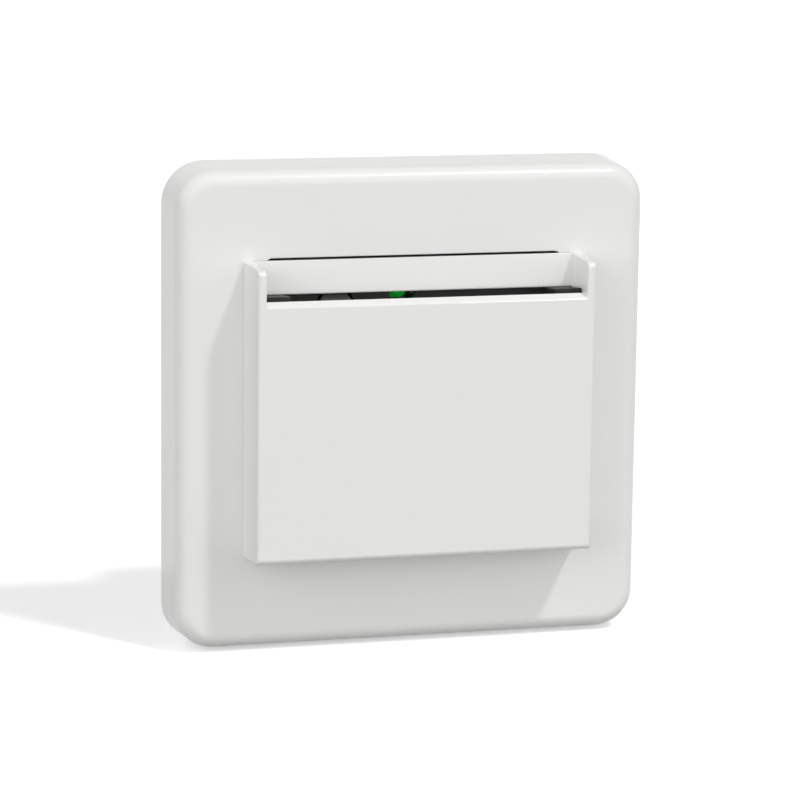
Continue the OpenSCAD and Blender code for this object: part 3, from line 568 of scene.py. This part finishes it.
# Card lever: the dark grey finger that a card pushes in, moulded in glass filled nylon.
# It turns on a steel pin, and a wound spring on the same pin holds it out.
lever_moulding = finish("lever_moulding", moulded_skin, {
    "Colour": (0.056, 0.055, 0.052, 1),
    "Shade": (0.045, 0.044, 0.041, 1),
    "Grain scale": 3800.0,
    "Grain depth": 0.008 * MM,
    "Gloss": 0.42,
    "Gloss spread": 0.2,
}, {"IOR": 1.5})
dress("card_lever", lever_moulding, 0.12)
dress("lever_pin", spring_wire, 0.1, 3)

LEVER_WIRE = 0.25
LEVER_COIL_R = 1.55
LEVER_TURNS = 3
LEG_X, FOOT_X = -10.25, -7.1
LEG_DROPS = (4.0, 3.2, 2.4, 1.6, 0.8)
FOOT_BEND = ((-0.02, 0.5), (0.02, 1.0), (0.2, 1.4), (0.6, 1.65), (1.2, 1.75), (2.4, 1.8))
hinge = Vector(joints["lever_hinge"]["pos_m"]) / MM
coil_back = hinge.y + LEVER_COIL_R
leg = [(LEG_X, coil_back, hinge.z - drop) for drop in LEG_DROPS]
curl = []
for i in range(LEVER_TURNS * COIL_STEPS + 1):
    turn = 2 * math.pi * i / COIL_STEPS
    x = LEG_X + (FOOT_X - LEG_X) * i / (LEVER_TURNS * COIL_STEPS)
    curl.append((x, hinge.y + LEVER_COIL_R * math.cos(turn), hinge.z + LEVER_COIL_R * math.sin(turn)))
foot = [(FOOT_X, coil_back + out, hinge.z + up) for out, up in FOOT_BEND]
lever_shell = wire_shell(leg + curl + foot, LEVER_WIRE)
lever_spring = build("lever_spring_coil", [(*lever_shell, 0)], [spring_wire])
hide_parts("lever_spring")
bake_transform(lever_spring)


# Card guide: the dark grey moulding in the plate's window, with the rails that carry the card's edges,
# the lever's opening and the lamp's hole. Four screws hold it on the base's flange.
guide_moulding = finish("guide_moulding", moulded_skin, {
    "Colour": (0.024, 0.023, 0.021, 1),
    "Shade": (0.019, 0.018, 0.016, 1),
    "Grain scale": 3600.0,
    "Grain depth": 0.012 * MM,
    "Gloss": 0.5,
    "Gloss spread": 0.2,
}, {"IOR": 1.5})
dress("card_guide", guide_moulding, 0.12)
dress("guide_screws", zinc_plate, 0.12)


# Frame plate: the white square round the switch, moulded with drafted sides and a deep round front edge.
# The mould is polished, so the skin is nearly smooth, with a faint wave that bends reflections.
white_moulding = finish("white_moulding", moulded_skin, {
    "Colour": (0.935, 0.931, 0.914, 1),
    "Shade": (0.928, 0.924, 0.906, 1),
    "Grain scale": 900.0,
    "Grain depth": 0.0005 * MM,
    "Gloss": 0.15,
    "Gloss spread": 0.03,
}, {"IOR": 1.5})
dress("frame_plate", white_moulding, 0.18, 3)


# Card holder: the white pocket that snaps through the window, with two cheeks, a front wall and a bottom,
# and the panel that closes the window above the slot. It is moulded in the plate's plastic.
dress("card_holder", white_moulding, 0.15, 3)


# Stage: a plain pale floor, three wide soft lights in front and a narrower one behind, a key light from
# the upper right, and the photograph's viewpoint. The camera, mirrored rays and rays through the lamp see
# the surround and the floor as white paper. All other light is that of the lights and the floor's bounce.
SOFT_LIGHTS = (
    ((0, -1, 0), 8.0, 0.75),
    ((-0.80, -0.59, 0.12), 4.0, 2.4),
    ((0.80, -0.59, 0.12), 4.0, 1.45),
    ((0, 0.98, 0.2), 40.0, 8.0),
)
WHITE, BLACK = (1, 1, 1, 1), (0, 0, 0, 1)


def seen_rays(tree):
    """One for what the camera sees, straight, mirrored or through the lamp's resin, and none for light."""
    rays = tree.nodes.new("ShaderNodeLightPath").outputs
    plain = reckon(tree, "MAXIMUM", rays["Is Camera Ray"], rays["Is Glossy Ray"])
    return reckon(tree, "MAXIMUM", plain, rays["Is Transmission Ray"])


world = bpy.data.worlds.new("studio")
bpy.context.scene.world = world
world.use_nodes = True
tree = world.node_tree
facing = add(tree, "TexCoord", {})["Generated"]
light = 0.0
for side, tightness, strength in SOFT_LIGHTS:
    toward = add(tree, "VectorMath", {0: facing, 1: side}, operation="DOT_PRODUCT")["Value"]
    spread = reckon(tree, "POWER", reckon(tree, "MAXIMUM", toward, 0.0), tightness)
    light = reckon(tree, "MULTIPLY_ADD", spread, strength, light)
surround = two_tone(tree, seen_rays(tree), light, WHITE)
tree.links.new(surround, tree.nodes["Background"].inputs["Color"])

FLOOR_HALF = 3.0
FLOOR_GAP = 0.02
FLOOR_BOUNCE = (0.3, 0.3, 0.3, 1)
FLOOR_LIFT = (0.45, 0.45, 0.45, 1)
floor_z = cad_box[0][2] - FLOOR_GAP * MM
corners = [(FLOOR_HALF * x, FLOOR_HALF * y, floor_z) for x, y in ((-1, -1), (1, -1), (1, 1), (-1, 1))]
floor_mesh = bpy.data.meshes.new("floor")
floor_mesh.from_pydata(corners, [], [(0, 1, 2, 3)])
floor = bpy.data.objects.new("floor", floor_mesh)
bpy.context.scene.collection.objects.link(floor)
floor_paint = bpy.data.materials.new("floor_paint")
floor_paint.use_nodes = True
tree = floor_paint.node_tree
seen = seen_rays(tree)
shader = tree.nodes["Principled BSDF"]
tree.links.new(two_tone(tree, seen, FLOOR_BOUNCE, WHITE), shader.inputs["Base Color"])
tree.links.new(two_tone(tree, seen, BLACK, FLOOR_LIFT), shader.inputs["Emission Color"])
shader.inputs["Emission Strength"].default_value = 1.0
shader.inputs["Roughness"].default_value = 1.0
shader.inputs["Specular IOR Level"].default_value = 0.0
floor_mesh.materials.append(floor_paint)

KEY_WAY = Vector((-7.5, 10.0, -17.6))
key = bpy.data.lights.new("key", "SUN")
key.energy = 1.0
key.angle = math.radians(6)
key_lamp = bpy.data.objects.new("key", key)
key_lamp.rotation_euler = KEY_WAY.to_track_quat("-Z", "Y").to_euler()
bpy.context.scene.collection.objects.link(key_lamp)

YAW, PITCH, ROLL = math.radians(15.711), math.radians(10.491), math.radians(0.717)
DISTANCE, ASIDE, RAISED = 582.152 * MM, 0.677 * MM, -0.922 * MM
ahead = Vector((math.sin(YAW) * math.cos(PITCH), math.cos(YAW) * math.cos(PITCH), -math.sin(PITCH)))
across = Vector((math.cos(YAW), -math.sin(YAW), 0))
upright = across.cross(ahead)
right = math.cos(ROLL) * across + math.sin(ROLL) * upright
up = -math.sin(ROLL) * across + math.cos(ROLL) * upright
place = ASIDE * right + RAISED * up - DISTANCE * ahead
camera_data = bpy.data.cameras.new("camera")
camera_data.sensor_fit = "HORIZONTAL"
camera_data.sensor_width = 36.0
camera_data.lens = 153.066
camera_data.clip_start = 0.01
camera_data.clip_end = 50.0
camera = bpy.data.objects.new("camera", camera_data)
camera.matrix_world = Matrix((
    (right.x, up.x, -ahead.x, place.x),
    (right.y, up.y, -ahead.y, place.y),
    (right.z, up.z, -ahead.z, place.z),
    (0, 0, 0, 1),
))
bpy.context.scene.collection.objects.link(camera)
bpy.context.scene.camera = camera
bpy.context.scene.view_settings.view_transform = "Standard"
